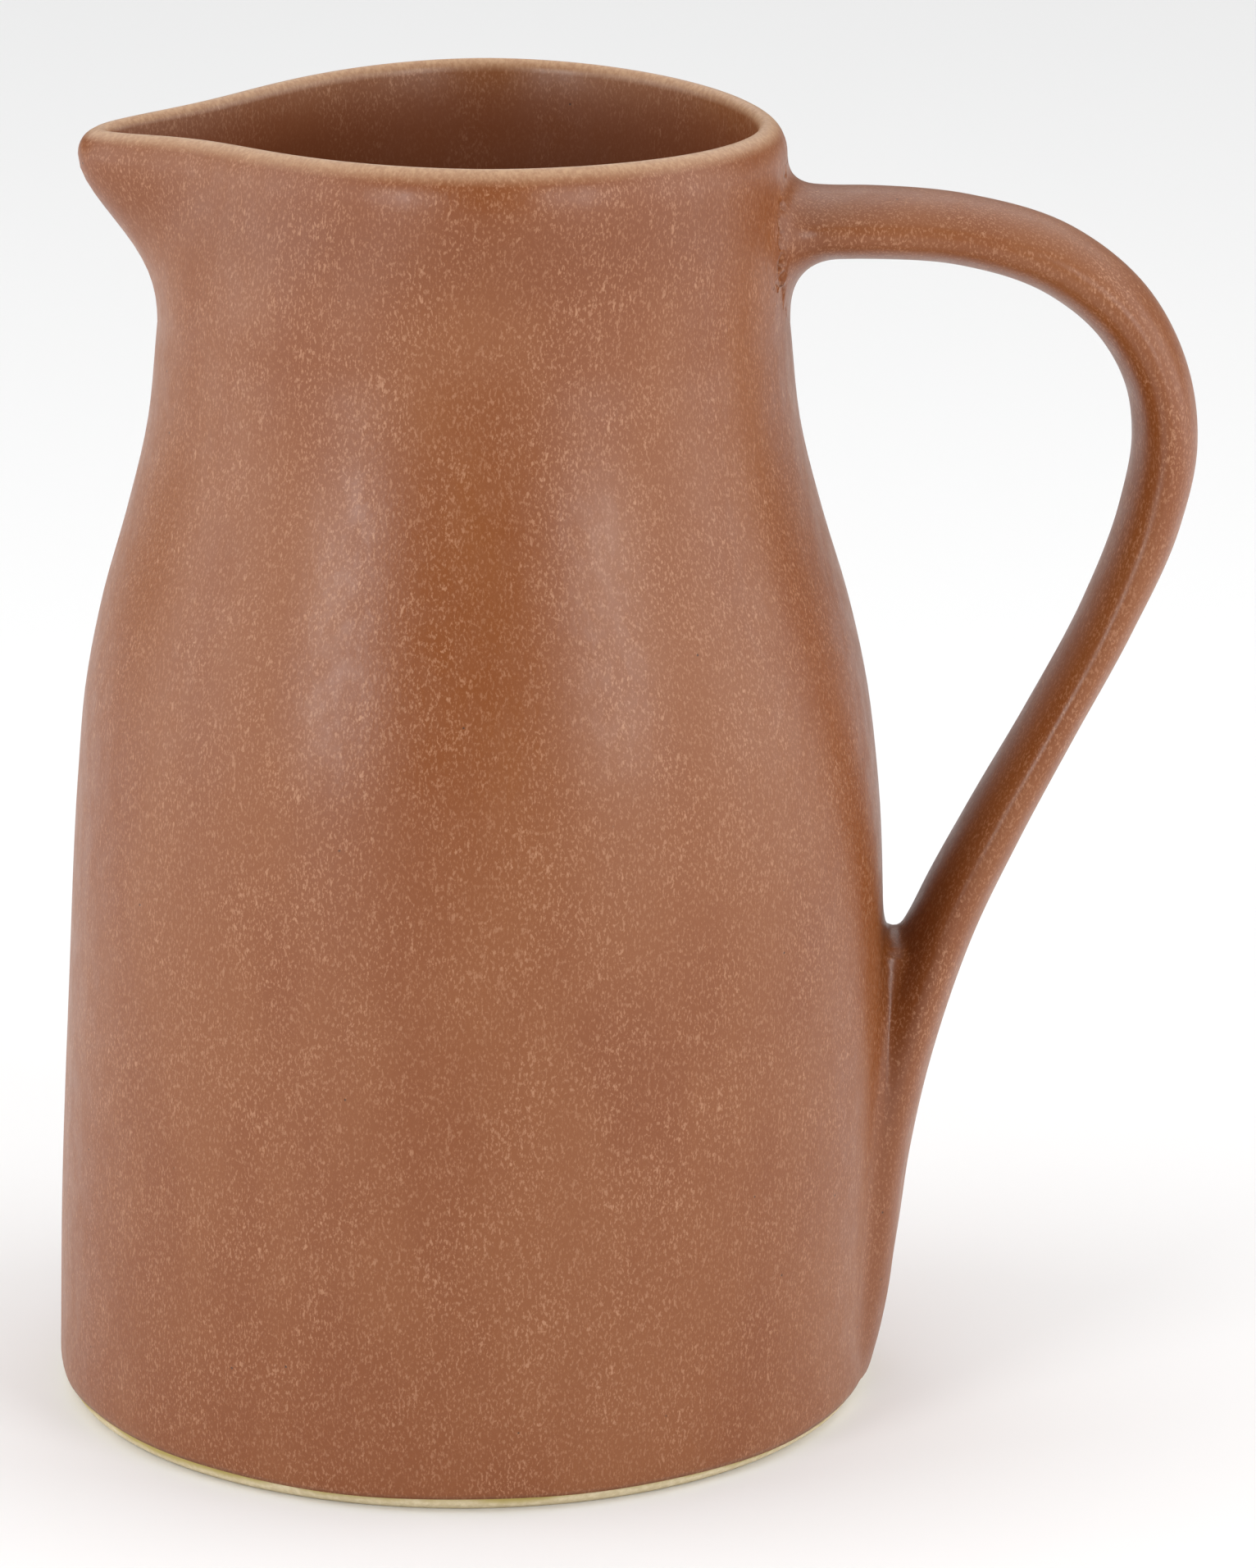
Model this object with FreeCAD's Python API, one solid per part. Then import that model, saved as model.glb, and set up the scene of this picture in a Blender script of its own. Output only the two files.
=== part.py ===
import FreeCAD, Part
import os
from math import cos, pi, radians, sin

# Stoneware pitcher, in millimetres. The origin is the centre of the foot on the table,
# +Z is up, the spout points along -X and the handle along +X.

# Driving dimensions of the clay body, measured outside and before glazing.
foot_radius = 60.4            # outer edge of the flat ring that stands on the table
foot_ring_width = 5.0
foot_recess = 1.5             # how far the base is turned away inside that ring
heel_height = 5.5             # top of the rounded corner above the foot
heel_radius = 63.0
heel_lean = 0.1               # how far a ring's centre lies towards the handle
belly_height = 30.0
belly_radius = 63.1
belly_lean = 0.8
flank_height = 98.0           # where the long, nearly straight flank turns in
flank_radius = 60.9
flank_lean = 2.2
neck_drop = 31.3              # narrowest ring of the neck, below the rim
neck_radius = 47.3
neck_lean = 1.6
rim_height = 199.3            # crest of the lip at the two sides
wall = 4.0
floor_thickness = 6.0
floor_corner = 14.0           # inside corner between floor and wall

# The mouth's crest line, from its own centre.
mouth_lean = 4.0
mouth_half_width = 45.9
mouth_to_handle = 41.2
mouth_to_front = 40.0         # without the spout
mouth_power = 1.85            # 2 is an ellipse, less is more pointed
spout_reach = 18.5            # how far the spout is pulled beyond the front
spout_half_angle = 13.8       # degrees, where the pull has fallen to half
spout_sag = 2.5               # how much lower the spout's tip is than the sides
lip_height = 6.0
lip_outside = 2.8             # crest line to the outer face
lip_inside = 0.9              # crest line to the inner face
lip_inner_height = 2.0

# Handle: a pulled strap, oval in section, and its tail pressed down the wall.
root_drop = 16.4              # centre of the upper end, below the rim
crotch_height = 75.0          # where the strap meets the wall again
handle_span = 52.7            # wall to the outermost point of the strap's centre line
root_depth = 5.0              # how far the strap's ends are set into the wall before trimming
strap_thickness = 9.0
strap_width = 21.0

# Slip fillets where the handle is luted on, and the coats of glaze.
upper_fillet = 5.0
upper_sink = 0.3              # how much of the collar hangs below the strap rather than above
lower_fillet = 3.2
glaze = 0.4
glaze_line = 2.4              # bare clay shows below this height

RING_POINTS = 32
RING_PITCH = 7.5              # height from ring to ring up the wall
WALL_SEAM = pi / 2            # the wall's faces close at one side, clear of handle and spout
QUARTER = [0, pi / 8, pi / 4, 3 * pi / 8, pi / 2]
HEEL_LOW = [0, 0.15, 0.5, 1]
HEEL_HIGH = [0, 0.3, 0.65, 1]
ACROSS = FreeCAD.Vector(0, 1, 0)

# The turn from flank to neck, as shares of its height and of the fall in radius.
SHOULDER = [(0.0, 0.0), (0.19, 0.11), (0.39, 0.33), (0.58, 0.62), (0.77, 0.865), (1.0, 1.0)]

# Levels between neck and lip, as shares of that height.
PULL_LEVELS = [0.2, 0.4, 0.6, 0.8, 1.0]

# Strap stations: share of the fall from root to crotch, share of the span,
# and thickness and width as shares of the plain strap's.
STRAP = [
    (0.000, 0.10, 1.08, 1.12), (0.000, 0.25, 1.06, 1.06), (0.011, 0.504, 1.04, 1.00),
    (0.054, 0.764, 1.07, 1.00), (0.128, 0.928, 1.05, 1.00), (0.226, 1.004, 1.00, 1.00),
    (0.312, 1.002, 1.00, 1.00), (0.417, 0.935, 0.96, 1.00), (0.567, 0.774, 0.83, 1.00),
    (0.723, 0.567, 0.81, 1.00), (0.871, 0.365, 0.90, 1.00),
]

# Tail stations: share of the crotch height, how proud of the wall its back stands
# as a share of the strap's thickness, and its thickness and width as shares.
TAIL = [
    (0.98, 1.60, 1.00, 1.02), (0.83, 1.16, 1.04, 1.10), (0.67, 0.80, 0.98, 1.20),
    (0.50, 0.55, 0.92, 1.28), (0.33, 0.40, 0.88, 1.32), (0.20, 0.26, 0.84, 1.30),
    (0.13, 0.11, 0.80, 1.20), (0.08, -0.06, 0.76, 1.00),
]

# Slip beside the tail: share of the crotch height, how proud of the wall it stands
# and how far it spreads past the tail, both as shares of the fillet.
LOWER_SLIP = [
    (1.06, 0.05, -2.00), (1.01, 0.60, -0.60), (0.94, 0.90, 0.60), (0.80, 0.90, 1.00),
    (0.60, 0.70, 1.00), (0.40, 0.55, 1.00), (0.25, 0.40, 1.00), (0.12, -0.05, 0.60),
]

# Slip round the root: how far out from the wall and how thick, as shares of the fillet.
UPPER_SLIP = [(-1.0, 1.20), (-0.2, 0.95), (0.3, 0.42), (0.8, 0.12), (1.4, -0.06)]


def between(low, high, share):
    return low + (high - low) * share


def smooth_step(share):
    return share * share * (3 - 2 * share)


# --- The wall's rings -------------------------------------------------------

def neck_height():
    return rim_height - neck_drop


def lip_base():
    return rim_height - lip_height


def wall_stations():
    """Height, radius and lean of each round ring from the heel to the neck."""
    rings = [
        (heel_height, heel_radius, heel_lean),
        (belly_height, belly_radius, belly_lean),
        (between(belly_height, flank_height, 0.5), between(belly_radius, flank_radius, 0.26),
         between(belly_lean, flank_lean, 0.75)),
    ]
    for height_share, fall_share in SHOULDER:
        rings.append((
            between(flank_height, neck_height(), height_share),
            between(flank_radius, neck_radius, fall_share),
            between(flank_lean, neck_lean, 1 - (1 - height_share) ** 2),
        ))
    return rings


def wall_curve():
    """Smooth curve through the stations: X is the radius, Y the lean, Z the height."""
    curve = Part.BSplineCurve()
    curve.interpolate([FreeCAD.Vector(radius, lean, z) for z, radius, lean in wall_stations()])
    return curve


def wall_at(curve, height):
    """Height, radius and lean of the wall's ring at this height."""
    low, high = curve.FirstParameter, curve.LastParameter
    for turn in range(40):
        middle = (low + high) / 2
        if curve.value(middle).z < height:
            low = middle
        else:
            high = middle
    point = curve.value(low)
    return (height, point.x, point.y)


def wall_front(height):
    """Where the outer wall stands under the handle, at this height."""
    level = min(max(height, heel_height), neck_height())
    return sum(wall_at(wall_curve(), level)[1:])


def wall_rings(lowest):
    """Evenly spaced rings of the plain wall, from the lowest height up to the neck."""
    curve = wall_curve()
    count = round((neck_height() - lowest) / RING_PITCH)
    levels = [between(lowest, neck_height(), i / count) for i in range(count + 1)]
    return [wall_at(curve, level) for level in levels]


def circle_point(angle, radius, lean, offset):
    reach = radius + offset
    return (lean + reach * cos(angle), reach * sin(angle))


def crest_radius(angle):
    """Distance from the mouth's centre to its crest line."""
    along = mouth_to_handle if cos(angle) > 0 else mouth_to_front
    power = mouth_power
    plain = (abs(cos(angle) / along) ** power + abs(sin(angle) / mouth_half_width) ** power)
    pull = 1 / (1 + (1 + cos(angle)) / (1 - cos(radians(spout_half_angle))))
    return plain ** (-1 / power) + spout_reach * pull


def crest_point(angle, offset):
    """Point of the crest line, moved squarely away from it by offset."""
    step = 0.002
    ahead = crest_radius(angle + step)
    behind = crest_radius(angle - step)
    slope = (ahead - behind) / (2 * step)
    radius = crest_radius(angle)
    length = (radius ** 2 + slope ** 2) ** 0.5
    out_x = (radius * cos(angle) + slope * sin(angle)) / length
    out_y = (radius * sin(angle) - slope * cos(angle)) / length
    return (mouth_lean + radius * cos(angle) + offset * out_x, radius * sin(angle) + offset * out_y)


def crest_sag(angle):
    """How far the crest lies below the rim height."""
    tip = mouth_to_front + spout_reach
    return spout_sag * (crest_radius(angle) * cos(angle) / tip) ** 2


def ring_wire(point_at, start=0.0):
    """Closed smooth wire through points spaced evenly round the ring, its seam at the start."""
    points = []
    for i in range(RING_POINTS):
        x, y, z = point_at(start + 2 * pi * i / RING_POINTS)
        points.append(FreeCAD.Vector(x, y, z))
    curve = Part.BSplineCurve()
    curve.interpolate(Points=points, PeriodicFlag=True)
    return Part.Wire([curve.toShape()])


def round_ring(height, radius, lean, offset=0.0):
    return ring_wire(lambda angle: (*circle_point(angle, radius, lean, offset), height), WALL_SEAM)


def pulled_ring(share, offset):
    """Level ring between the neck and the foot of the lip, drawn out towards the spout."""
    pull = smooth_step(share ** 1.3)
    height = between(neck_height(), lip_base(), share)

    def point_at(angle):
        round_x, round_y = circle_point(angle, neck_radius, neck_lean, offset)
        lip_x, lip_y = crest_point(angle, lip_outside + offset)
        return (between(round_x, lip_x, pull), between(round_y, lip_y, pull), height)
    return ring_wire(point_at, WALL_SEAM)


def lip_ring(turn, offset, inside):
    """Ring on the rounded lip: turn is 0 at its foot and a quarter turn at its crest."""
    width = -lip_inside if inside else lip_outside
    width += -offset if inside else offset

    def point_at(angle):
        x, y = crest_point(angle, width * cos(turn))
        crest = rim_height - crest_sag(angle) + offset
        foot = crest - offset - lip_inner_height if inside else lip_base()
        return (x, y, between(foot, crest, sin(turn)))
    return ring_wire(point_at, WALL_SEAM)


def heel_ring(height, offset=0.0):
    """Ring on the rounded corner between the foot and the wall."""
    share = height / heel_height
    radius = between(foot_radius, heel_radius, (1 - (1 - share) ** 2) ** 0.5)
    return round_ring(height, radius, heel_lean * share, offset)


def loft(wires, solid=False):
    shape = Part.makeLoft(wires, solid, False, False)
    return shape if solid else shape.Faces


def outer_wires(offset):
    wires = [round_ring(*ring, offset) for ring in wall_rings(heel_height)]
    return wires + [pulled_ring(share, offset) for share in PULL_LEVELS]


def heel_wires(offset):
    """Rings on the heel from the glaze line up."""
    return [heel_ring(between(glaze_line, heel_height, share), offset) for share in HEEL_HIGH]


def outer_faces(offset):
    """Outside of the body from the glaze line up to the crest of the lip."""
    lip = [lip_ring(turn, offset, False) for turn in QUARTER]
    return loft(heel_wires(offset)) + loft(outer_wires(offset)) + loft(lip)


def inner_faces(offset):
    """Inside of the body from the crest down to the floor."""
    lip = [lip_ring(turn, offset, True) for turn in QUARTER[::-1]]
    inset = -wall - offset
    levels = [share for share in PULL_LEVELS if share < 0.9]
    pulled = [pulled_ring(share, inset) for share in levels[::-1]]
    corner_top = floor_thickness + floor_corner
    rings = wall_rings(corner_top)
    radius, lean = rings[0][1:]
    round_wires = [round_ring(*ring, inset) for ring in rings[:0:-1]]
    corner = []
    for turn in QUARTER:
        height = corner_top - floor_corner * sin(turn) + offset
        reach = radius - floor_corner * (1 - cos(turn))
        corner.append(round_ring(height, reach, lean, inset))
    floor = [Part.Face(corner[-1])]
    return loft(lip) + loft([lip[-1]] + pulled + round_wires + corner[:1]) + loft(corner) + floor


def solid_from(faces):
    """One solid from faces that meet edge to edge."""
    shell = Part.makeShell(faces)
    shell.sewShape()
    solid = Part.makeSolid(Part.Shell(shell.Faces))
    solid.fix(0.001, 0.001, 0.001)
    if solid.Volume < 0:
        solid.reverse()
    return solid


def crest_strip():
    """Narrow face across the glaze at the crest, where two coats meet."""
    return loft([lip_ring(pi / 2, 0.0, False), lip_ring(pi / 2, glaze, False)])


# --- The pieces ---------------------------------------------------------------

def clay_body():
    heel = loft([heel_ring(glaze_line * share) for share in HEEL_LOW])
    ring_inside = foot_radius - foot_ring_width
    edge = Part.Wire([Part.makeCircle(ring_inside)])
    base_level = FreeCAD.Vector(0, 0, foot_recess)
    base_edge = Part.Wire([Part.makeCircle(ring_inside - foot_recess, base_level)])
    foot = [Part.Face([heel_ring(0), edge])]
    recess = loft([edge, base_edge]) + [Part.Face(base_edge)]
    return solid_from(foot + recess + heel + outer_faces(0.0) + inner_faces(0.0))


def outer_glaze():
    line = Part.Face([heel_ring(glaze_line, glaze), heel_ring(glaze_line)])
    return solid_from(outer_faces(0.0) + outer_faces(glaze) + [line] + crest_strip())


def liner_glaze():
    return solid_from(inner_faces(0.0) + inner_faces(glaze) + crest_strip())


def body_filled(offset):
    """The body's outside with no hollow, for trimming what is pressed against it."""
    low = loft([heel_ring(glaze_line * share, offset) for share in HEEL_LOW])
    wires = outer_wires(offset)
    lids = [Part.Face(heel_ring(0, offset)), Part.Face(wires[-1])]
    return solid_from(lids + low + loft(heel_wires(offset)) + loft(wires))


def oval(centre, up, half_thickness, half_width):
    """Oval section: up is the direction of its thickness, +Y that of its width."""
    def point_at(angle):
        point = centre + up * (half_thickness * cos(angle)) + ACROSS * (half_width * sin(angle))
        return (point.x, point.y, point.z)
    return ring_wire(point_at)


def strap_stations():
    """Centre, half thickness and half width of each section from the root to the tail."""
    root_height = rim_height - root_drop
    root_wall = wall_front(root_height)
    crotch_wall = wall_front(crotch_height)
    stations = [(root_wall - root_depth, root_height, 1.25, 1.2)]
    for fall, reach, thick, wide in STRAP:
        x = between(root_wall, crotch_wall, fall) + handle_span * reach
        stations.append((x, between(root_height, crotch_height, fall), thick, wide))
    for level, proud, thick, wide in TAIL:
        height = crotch_height * level
        back = wall_front(height) + proud * strap_thickness
        stations.append((back - thick * strap_thickness / 2, height, thick, wide))
    return stations


def strap(offset):
    """Handle from wall to wall and down its tail, not yet trimmed to the body."""
    stations = strap_stations()
    centres = [FreeCAD.Vector(x, 0, z) for x, z, thick, wide in stations]
    path = Part.BSplineCurve()
    path.interpolate(centres)
    sections = []
    for centre, (x, z, thick, wide) in zip(centres, stations):
        along = path.tangent(path.parameter(centre))[0]
        sections.append(oval(
            centre, along.cross(ACROSS),
            thick * strap_thickness / 2 + offset,
            wide * strap_width / 2 + offset,
        ))
    return loft(sections, solid=True)


def upper_flare(offset):
    """Collar of slip round the strap's root, wide at the wall and gone a little way out."""
    height = rim_height - root_drop
    face = wall_front(height)
    thick, wide = STRAP[0][2:]
    sections = []
    for out, grow in UPPER_SLIP:
        growth = grow * upper_fillet
        centre = FreeCAD.Vector(face + out * upper_fillet, 0, height - upper_sink * growth)
        sections.append(oval(
            centre, FreeCAD.Vector(0, 0, -1),
            thick * strap_thickness / 2 + growth + offset,
            wide * strap_width / 2 + growth + offset,
        ))
    return loft(sections, solid=True)


def tail_width(level):
    """The tail's width at this share of the crotch height."""
    for upper, lower in zip(TAIL, TAIL[1:]):
        if level >= lower[0]:
            share = min(1.0, (level - lower[0]) / (upper[0] - lower[0]))
            return strap_width * between(lower[3], upper[3], share)
    return strap_width * TAIL[-1][3]


def lower_flare(offset):
    """Fillet of slip along both sides of the tail and in the crotch above it."""
    sections = []
    for level, proud, spread in LOWER_SLIP:
        height = crotch_height * level
        centre = FreeCAD.Vector(wall_front(height) - lower_fillet, 0, height)
        sections.append(oval(
            centre, FreeCAD.Vector(-1, 0, 0),
            lower_fillet * (1 + proud) + offset,
            tail_width(level) / 2 + lower_fillet * spread + offset,
        ))
    return loft(sections, solid=True)


def save(name, shape):
    """Write one piece, keeping only its solids."""
    solids = shape.Solids
    piece = solids[0] if len(solids) == 1 else Part.makeCompound(solids)
    piece.exportStep("parts/" + name + ".step")
    print(name, len(solids), "solid(s)", round(piece.Volume), "mm3", "valid", piece.isValid())


def main():
    os.makedirs("parts", exist_ok=True)
    filled = body_filled(0.0)
    filled_glazed = body_filled(glaze)
    raw_strap = strap(0.0)
    raw_upper = upper_flare(0.0)
    raw_lower = lower_flare(0.0)
    handle = raw_strap.cut(filled)
    upper_joint = raw_upper.cut(filled).cut(raw_strap)
    lower_joint = raw_lower.cut(filled).cut(raw_strap)
    coat = strap(glaze).fuse([upper_flare(glaze), lower_flare(glaze)])
    coat = coat.cut(filled_glazed).cut(raw_strap).cut(raw_upper).cut(raw_lower)
    skin = outer_glaze().cut(raw_strap).cut(raw_upper).cut(raw_lower)
    save("clay_body", clay_body())
    save("handle", handle)
    save("upper_joint", upper_joint)
    save("lower_joint", lower_joint)
    save("outer_glaze", skin)
    save("liner_glaze", liner_glaze())
    save("handle_glaze", coat)


main()
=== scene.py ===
# %% [markdown]
# # A stoneware pitcher
#
# The real pitcher is one lump of fired clay with a skin of glaze, but it was made in steps, and the
# scene repeats them: the pot is thrown round, leaned and pulled into a spout, a strap is pulled and
# bent into a handle, the handle is luted on with slip, and the whole is dipped in glaze down to a
# line just above the foot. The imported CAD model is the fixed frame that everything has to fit.

from math import cos, pi, radians, sin

import bmesh
import bpy
from mathutils import Matrix, Vector
from mathutils.bvhtree import BVHTree


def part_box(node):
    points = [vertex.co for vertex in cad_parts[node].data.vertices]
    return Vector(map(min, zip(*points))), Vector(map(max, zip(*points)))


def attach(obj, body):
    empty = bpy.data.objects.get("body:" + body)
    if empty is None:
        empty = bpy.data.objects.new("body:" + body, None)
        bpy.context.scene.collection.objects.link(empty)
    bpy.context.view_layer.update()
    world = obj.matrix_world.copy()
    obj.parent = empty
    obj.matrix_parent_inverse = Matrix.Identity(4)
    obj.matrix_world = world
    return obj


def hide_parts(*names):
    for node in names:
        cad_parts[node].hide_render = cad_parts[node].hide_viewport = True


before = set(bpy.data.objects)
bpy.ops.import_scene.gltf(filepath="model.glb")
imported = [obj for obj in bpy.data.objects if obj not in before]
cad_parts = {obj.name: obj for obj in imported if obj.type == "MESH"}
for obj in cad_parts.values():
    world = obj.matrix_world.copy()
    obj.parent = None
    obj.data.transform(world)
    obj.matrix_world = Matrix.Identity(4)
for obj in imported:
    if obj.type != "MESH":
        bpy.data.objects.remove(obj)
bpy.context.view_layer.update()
mm = 0.001
print("frame nodes:", sorted(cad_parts))

# %% [markdown]
# ## Sizes
#
# The heights come from the frame: the rim is the top of the clay, and the glaze starts where the
# outer coat's box starts. The other sizes are the potter's own: how wide the pot is thrown at the
# foot, the belly, the flank and the neck. Each of these places has a height, a radius and a lean,
# because the real pot isn't quite upright: it leans a little to the handle. Later steps add their
# own sizes where they need them.

# %% Sizes of the thrown wall
rim_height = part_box("clay_body")[1][2]
glaze_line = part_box("outer_glaze")[0][2]
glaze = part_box("outer_glaze")[1][2] - rim_height
foot_radius = 60.4 * mm
heel_height = 5.5 * mm
heel_radius = 63.0 * mm
heel_lean = 0.1 * mm
belly_height = 30 * mm
belly_radius = 63.1 * mm
belly_lean = 0.8 * mm
flank_height = 98 * mm
flank_radius = 60.9 * mm
flank_lean = 2.2 * mm
neck_height = rim_height - 31.3 * mm
neck_radius = 47.3 * mm
neck_lean = 1.6 * mm
print("rim", round(rim_height / mm, 1), "mm, glaze", round(glaze / mm, 2), "mm thick")

# %% [markdown]
# ## The wall's curve
#
# A thrown wall has no corners, so its radius is a smooth curve through a few stations. A cubic that
# passes through each station with a matched slope does that with no overshoot worth seeing. Blender
# has such curves too, but a formula can be asked for the radius at any height, which the warp and
# the handle need later.

# %% Smooth curve through stations
def between(low, high, share):
    return low + (high - low) * share


def smooth_step(share):
    share = min(1.0, max(0.0, share))
    return share * share * (3 - 2 * share)


def slopes_of(stations):
    """Slope of each value at each station, from the chords on both sides."""
    chords = []
    for a, b in zip(stations, stations[1:]):
        chords.append([(q - p) / (b[0] - a[0]) for p, q in zip(a[1:], b[1:])])
    slopes = [chords[0]]
    for i in range(1, len(stations) - 1):
        before = stations[i][0] - stations[i - 1][0]
        after = stations[i + 1][0] - stations[i][0]
        pairs = zip(chords[i - 1], chords[i])
        slopes.append([(p * after + q * before) / (before + after) for p, q in pairs])
    return slopes + [chords[-1]]


def curve_at(stations, slopes, at):
    """Values at this place on the smooth curve through the stations."""
    i = 0
    while i < len(stations) - 2 and at > stations[i + 1][0]:
        i += 1
    span = stations[i + 1][0] - stations[i][0]
    t = min(1.0, max(0.0, (at - stations[i][0]) / span))
    values = []
    for k in range(len(slopes[0])):
        start, end = stations[i][k + 1], stations[i + 1][k + 1]
        rise = slopes[i][k] * span
        fall = slopes[i + 1][k] * span
        bend = (2 * t ** 3 - 3 * t ** 2) * (start - end) + (t ** 3 - 2 * t ** 2 + t) * rise
        values.append(start + bend + (t ** 3 - t ** 2) * fall)
    return values


# %% [markdown]
# The long turn from flank to neck is given as shares of its height and of its fall in radius, so it
# stretches with the pot. Below the heel the wall rounds in to the foot on a quarter of an ellipse.

# %% The wall's stations
shoulder = [(0.0, 0.0), (0.19, 0.11), (0.39, 0.33), (0.58, 0.62), (0.77, 0.865), (1.0, 1.0)]
wall_stations = [
    (heel_height, heel_radius, heel_lean),
    (belly_height, belly_radius, belly_lean),
    (between(belly_height, flank_height, 0.5), between(belly_radius, flank_radius, 0.26),
     between(belly_lean, flank_lean, 0.75)),
]
for height_share, fall_share in shoulder:
    wall_stations.append((
        between(flank_height, neck_height, height_share),
        between(flank_radius, neck_radius, fall_share),
        between(flank_lean, neck_lean, 1 - (1 - height_share) ** 2),
    ))
wall_slopes = slopes_of(wall_stations)


def wall_at(height):
    """Radius and lean of the clay's outside, from the table up to the neck."""
    if height < heel_height:
        share = max(0.0, height / heel_height)
        round_share = (1 - (1 - share) ** 2) ** 0.5
        return between(foot_radius, heel_radius, round_share), heel_lean * share
    if height > neck_height:
        return neck_radius, neck_lean
    return curve_at(wall_stations, wall_slopes, height)


print("radius at 60 mm:", round(wall_at(60 * mm)[0] / mm, 2))

# %% [markdown]
# ## Pulling the spout
#
# The potter throws a round pot and then draws the lip out with a finger while two others hold the
# sides in. The same is done here as a warp: each point of the round pot is carried towards the
# crest line of the finished mouth, not at all at the neck and fully at the lip. The crest line is
# a slightly pointed oval with a bump in front, and it sags a little where it was pulled.

# %% Crest line of the mouth
lip_height = 6.0 * mm
lip_base = rim_height - lip_height
lip_outside = 2.8 * mm
mouth_lean = 4.0 * mm
mouth_half_width = 45.9 * mm
mouth_to_handle = 41.2 * mm
mouth_to_front = 40.0 * mm
mouth_power = 1.85
spout_reach = 18.5 * mm
spout_half_angle = radians(13.8)
spout_sag = 2.5 * mm


def crest_radius(angle):
    """Distance from the mouth's centre to its crest line; angle 0 is towards the handle."""
    along = mouth_to_handle if cos(angle) > 0 else mouth_to_front
    plain = abs(cos(angle) / along) ** mouth_power + abs(sin(angle) / mouth_half_width) ** mouth_power
    pull = 1 / (1 + (1 + cos(angle)) / (1 - cos(spout_half_angle)))
    return plain ** (-1 / mouth_power) + spout_reach * pull


def crest_point(angle, offset):
    """Point of the crest line, moved squarely away from it by offset."""
    step = 0.002
    slope = (crest_radius(angle + step) - crest_radius(angle - step)) / (2 * step)
    radius = crest_radius(angle)
    out = Vector((radius * cos(angle) + slope * sin(angle), radius * sin(angle) - slope * cos(angle)))
    out.normalize()
    return Vector((mouth_lean + radius * cos(angle), radius * sin(angle))) + out * offset


def crest_sag(angle):
    """How far the pull has lowered the crest at this angle."""
    return spout_sag * (crest_radius(angle) * cos(angle) / (mouth_to_front + spout_reach)) ** 2


print("spout tip at x =", round(crest_point(pi, lip_outside + glaze).x / mm, 1), "mm")


# %% Warp from the round pot to the pulled one
def carried(angle, radius, height):
    """Where a point of the plain round pot ends up in the finished one."""
    lean = wall_at(height)[1]
    plan = Vector((lean + radius * cos(angle), radius * sin(angle)))
    if height > neck_height:
        share = min(1.0, (height - neck_height) / (lip_base - neck_height))
        pull = smooth_step(share ** 1.3)
        plan = plan.lerp(crest_point(angle, lip_outside + radius - neck_radius), pull)
    sag = crest_sag(angle) * min(1.0, max(0.0, (height - lip_base) / lip_height))
    return Vector((plan.x, plan.y, height - sag))


print("spout's foot at x =", round(carried(pi, neck_radius, lip_base).x / mm, 1), "mm")

# %% [markdown]
# ## Throwing the pot
#
# A round pot is a profile turned about its axis, so the profile is drawn as a chain of edges and
# spun. The chain runs up the outside, over the rounded lip and down the inside to the middle of the
# floor. The same chain, started under the foot, makes the clay body, and started at the glaze line
# and set out by the coat's thickness, it makes the skin of glaze.

# %% Profile of the outside
def quarter(count):
    """Even angles over a quarter turn."""
    return [pi / 2 * i / count for i in range(count + 1)]


def heights(low, high, pace):
    """Even heights about this pace apart."""
    count = max(1, round((high - low) / pace))
    return [between(low, high, i / count) for i in range(count + 1)]


def outside_profile(offset, start):
    """Radius and height of each point from the start up to the crest of the lip."""
    levels = heights(start, heel_height, 0.7 * mm)
    levels += heights(heel_height, neck_height, 3 * mm)[1:]
    levels += heights(neck_height, lip_base, 2 * mm)[1:]
    points = [(wall_at(level)[0] + offset, level) for level in levels]
    for turn in quarter(9)[1:]:
        reach = (lip_outside + offset) * cos(turn) - lip_outside
        points.append((neck_radius + reach, lip_base + (lip_height + offset) * sin(turn)))
    return points


# %% Profile of the inside
wall = 4.0 * mm
floor_thickness = 6.0 * mm
floor_corner = 14.0 * mm
lip_inside = 0.9 * mm
lip_inner_height = 2.0 * mm


def inside_profile(offset):
    """Radius and height of each point from the crest down to the middle of the floor."""
    points = []
    crest = rim_height + offset
    for turn in quarter(6)[::-1][1:]:
        reach = -lip_outside - (lip_inside + offset) * cos(turn)
        points.append((neck_radius + reach, crest - lip_inner_height * (1 - sin(turn))))
    corner_top = floor_thickness + floor_corner
    for level in heights(corner_top, lip_base, 4 * mm)[::-1]:
        points.append((wall_at(level)[0] - wall - offset, level))
    corner_radius = wall_at(corner_top)[0] - wall - offset
    for turn in quarter(8)[1:]:
        height = corner_top - floor_corner * sin(turn) + offset
        points.append((corner_radius - floor_corner * (1 - cos(turn)), height))
    floor_edge, floor_level = points[-1]
    for share in (0.85, 0.65, 0.45, 0.25, 0.1, 0):
        points.append((floor_edge * share, floor_level))
    return points


print("inside profile", len(inside_profile(0.0)), "points")

# %% [markdown]
# A full spin with use_merge closes its own seam. The points on the axis fall together, so doubles
# are merged before the normals are recalculated. The spin's steps are even, but the spout's tip
# needs finer ones than the back, so each point's angle is eased towards the front first.

# %% Spin and carry
spin_steps = 192
ease_to_front = 0.65
tiny = 0.01 * mm


def bearing(point):
    """Angle of this point round the pot; 0 is towards the handle."""
    return -Vector((1, 0)).angle_signed(point.xy) if point.xy.length > tiny else 0.0


def chain(bm, points):
    """Open chain of edges in the XZ plane."""
    verts = [bm.verts.new((radius, 0, height)) for radius, height in points]
    return [bm.edges.new(pair) for pair in zip(verts, verts[1:])]


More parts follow.
